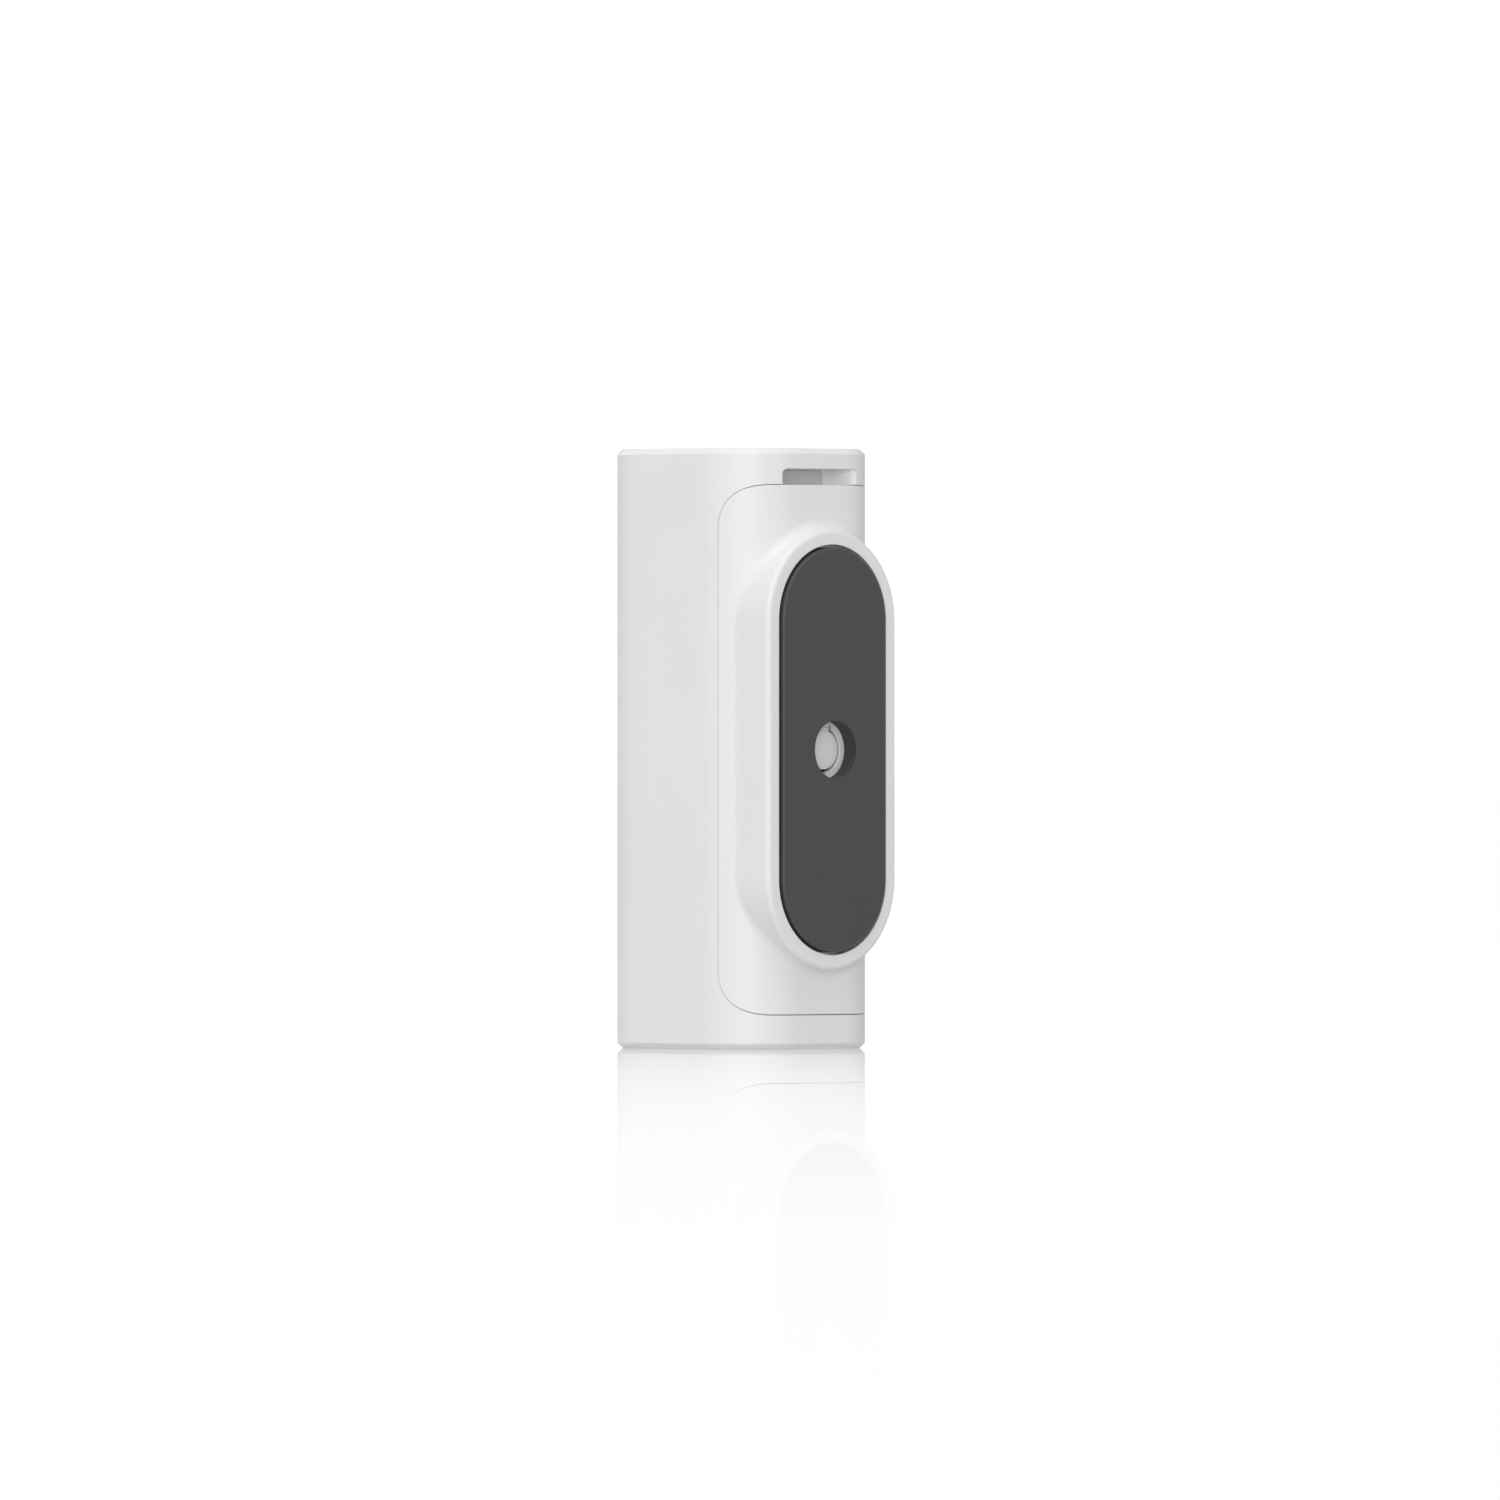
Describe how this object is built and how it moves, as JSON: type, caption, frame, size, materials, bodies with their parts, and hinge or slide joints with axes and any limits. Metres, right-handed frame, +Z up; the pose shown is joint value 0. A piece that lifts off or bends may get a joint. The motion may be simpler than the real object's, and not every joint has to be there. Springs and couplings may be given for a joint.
{
  "type": "video doorbell",
  "caption": "Battery video doorbell: upright rounded white housing, black front fascia with camera and bell button, lift-off rear cover with a rubber wall pad.",
  "frame": {"origin": "centre of the flat base of the housing", "axes": "+Z up along the housing, +Y out of the rear cover towards the wall, -Y towards the visitor, +X to the right seen from the visitor's side looking along +Y"},
  "size_m": [0.044, 0.0534, 0.13],
  "materials": {
    "white_shell": "satin moulded, very fine texture",
    "latch_grey": "satin moulded",
    "black_gloss": "polished",
    "button_black": "satin, dished",
    "window_glass": "tinted, polished",
    "lens_glass": "coated",
    "ir_window": "polished, infra-red clear",
    "milky_lens": "milky, fine ribs inside",
    "light_pipe": "frosted",
    "pad_rubber": "matt, smooth skin",
    "seal_rubber": "matt",
    "dark_plastic": "moulded",
    "chip_black": "moulded epoxy",
    "cone_grey": "pressed film",
    "sensor_blue": "polished",
    "circuit_board": "solder mask",
    "led_clear": "clear epoxy",
    "led_white": "phosphor",
    "plated_steel": "tin plated",
    "plated_gold": "gold flashed",
    "connector_cream": "moulded",
    "screw_steel": "zinc plated",
    "copper_flex": "polyimide film over copper",
    "cell_wrap": "shrink sleeve",
    "spring_steel": "drawn wire",
    "plunger_white": "moulded acetal"
  },
  "bodies": {
    "root": {"housing": "white_shell", "front_fascia": "black_gloss", "fascia_seal": "seal_rubber", "camera_window": "window_glass", "lens_hood": "seal_rubber", "lens_barrel": "dark_plastic", "lens_glass": "lens_glass", "lens_holder": "dark_plastic", "image_sensor": "sensor_blue", "camera_board": "circuit_board", "ir_windows": "ir_window", "ir_leds": "led_clear", "pir_lens": "milky_lens", "pir_holder": "dark_plastic", "pir_sensor": "plated_steel", "light_ring": "light_pipe", "ring_leds": "led_white", "front_board": "circuit_board", "microphone": "plated_gold", "mic_boot": "seal_rubber", "button_switch": "dark_plastic", "speaker_frame": "dark_plastic", "speaker_cone": "cone_grey", "speaker_gasket": "seal_rubber", "main_board": "circuit_board", "shield_can": "plated_steel", "board_chips": "chip_black", "board_connectors": "connector_cream", "usb_socket": "plated_steel", "reset_switch": "dark_plastic", "chassis": "dark_plastic", "chassis_screws": "screw_steel", "board_screws": "screw_steel", "tray_screws": "screw_steel", "wifi_antenna": "copper_flex", "battery_tray": "dark_plastic", "battery_cells": "cell_wrap", "battery_springs": "spring_steel", "battery_contacts": "plated_steel", "tamper_switch": "dark_plastic", "tamper_flex": "copper_flex", "latch_spring": "spring_steel"},
    "rear_cover": {"rear_cover": "white_shell", "wall_pad": "pad_rubber", "cover_seal": "seal_rubber"},
    "tamper_flap": {"tamper_flap": "white_shell"},
    "release_latch": {"release_latch": "latch_grey"},
    "bell_button": {"bell_button": "button_black"},
    "switch_plunger": {"switch_plunger": "plunger_white"},
    "tamper_plunger": {"tamper_plunger": "plunger_white"},
    "reset_button": {"reset_button": "plunger_white"}
  },
  "joints": [
    {"name": "cover_release", "type": "slide", "parent": "root", "child": "rear_cover", "axis": [0, 1, 0], "range_m": [0, 0.04]},
    {"name": "tamper_flap_hinge", "type": "hinge", "parent": "rear_cover", "child": "tamper_flap", "pos_m": [0, 0.02465, 0.06965], "axis": [-1, 0, 0], "range_deg": [0, 3], "stiffness_Nm_per_rad": 0.02},
    {"name": "latch_press", "type": "slide", "parent": "root", "child": "release_latch", "axis": [0, -1, 0], "range_m": [0, 0.0012], "stiffness_N_per_m": 600},
    {"name": "bell_press", "type": "slide", "parent": "root", "child": "bell_button", "axis": [0, 1, 0], "range_m": [0, 0.0005], "stiffness_N_per_m": 1200},
    {"name": "switch_press", "type": "slide", "parent": "root", "child": "switch_plunger", "axis": [0, 1, 0], "range_m": [0, 0.0005]},
    {"name": "tamper_press", "type": "slide", "parent": "root", "child": "tamper_plunger", "axis": [0, -1, 0], "range_m": [0, 0.0008], "stiffness_N_per_m": 300},
    {"name": "reset_press", "type": "slide", "parent": "root", "child": "reset_button", "axis": [0, -1, 0], "range_m": [0, 0.0003], "stiffness_N_per_m": 600}
  ],
  "couplings": [
    {"joint": "switch_press", "follows": "bell_press", "ratio": 1}
  ]
}
